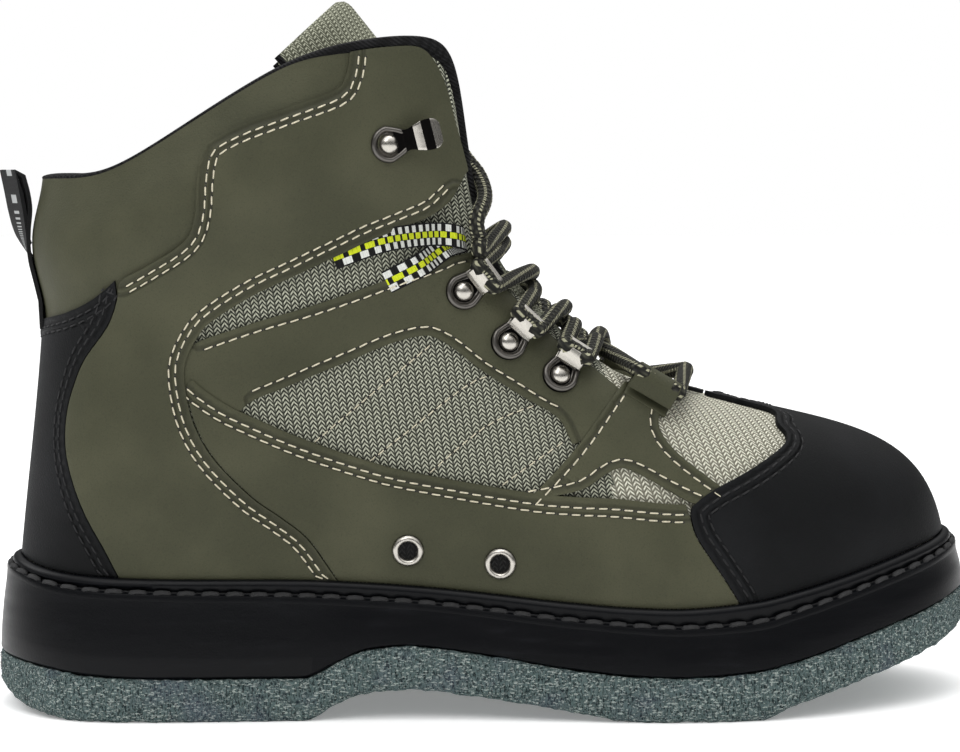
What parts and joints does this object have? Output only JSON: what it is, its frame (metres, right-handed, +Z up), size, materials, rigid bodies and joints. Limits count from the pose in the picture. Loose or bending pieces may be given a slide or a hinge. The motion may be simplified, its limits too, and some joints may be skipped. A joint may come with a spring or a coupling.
{
  "type": "wading boot",
  "caption": "Lace-up ankle boot for wading, with a felt outsole, rubber midsole, padded collar and riveted lace tunnels, for the right foot.",
  "frame": {"origin": "on the floor under the middle of the heel, on the flat spot of the felt outsole", "axes": "+X towards the toe, +Z up, the outer side towards -Y"},
  "size_m": [0.315, 0.1126, 0.2231],
  "materials": {
    "felt": "coarse grey-green felt",
    "rubber_black": "smooth black rubber",
    "leather_olive": "olive grained synthetic leather",
    "mesh_sage": "sage open knit mesh",
    "insole_grey": "dark brushed fabric",
    "leather_black": "black rubber-coated leather, matt with fine grain",
    "webbing_black": "black woven webbing and binding",
    "webbing_striped": "black webbing with white and yellow stripes",
    "metal_nickel": "satin nickel-plated steel",
    "lace_braid": "round black braid with pale tracers"
  },
  "bodies": {
    "root": {"outsole_felt": "felt", "midsole": "rubber_black", "welt": "rubber_black", "upper": "leather_olive", "tongue": "mesh_sage", "insole": "insole_grey", "toe_cap": "leather_black", "heel_counter": "leather_black", "vamp_strip": "leather_black", "ankle_panel_outer": "leather_olive", "lace_stay_outer": "leather_olive", "mudguard_outer": "leather_olive", "vamp_strap_outer": "leather_olive", "strap_loop_outer": "leather_olive", "ankle_panel_inner": "leather_olive", "lace_stay_inner": "leather_olive", "mudguard_inner": "leather_olive", "vamp_strap_inner": "leather_olive", "strap_loop_inner": "leather_olive", "topline_binding": "webbing_black", "pull_loop": "webbing_black", "webbing_loop_outer": "webbing_striped", "lace_tunnel_1_outer": "metal_nickel", "tunnel_rivet_1_outer": "metal_nickel", "lace_tunnel_2_outer": "metal_nickel", "tunnel_rivet_2_outer": "metal_nickel", "lace_tunnel_3_outer": "metal_nickel", "tunnel_rivet_3_outer": "metal_nickel", "lace_hook_outer": "metal_nickel", "hook_rivet_outer": "metal_nickel", "drain_eyelet_1_outer": "metal_nickel", "drain_eyelet_2_outer": "metal_nickel", "webbing_loop_inner": "webbing_striped", "lace_tunnel_1_inner": "metal_nickel", "tunnel_rivet_1_inner": "metal_nickel", "lace_tunnel_2_inner": "metal_nickel", "tunnel_rivet_2_inner": "metal_nickel", "lace_tunnel_3_inner": "metal_nickel", "tunnel_rivet_3_inner": "metal_nickel", "lace_hook_inner": "metal_nickel", "hook_rivet_inner": "metal_nickel", "drain_eyelet_1_inner": "metal_nickel", "drain_eyelet_2_inner": "metal_nickel", "lace_crossing_1": "lace_braid", "lace_crossing_2": "lace_braid", "lace_crossing_3": "lace_braid", "lace_crossing_4": "lace_braid", "lace_bar": "lace_braid", "lace_end_outer": "lace_braid", "lace_end_inner": "lace_braid"}
  },
  "joints": []
}
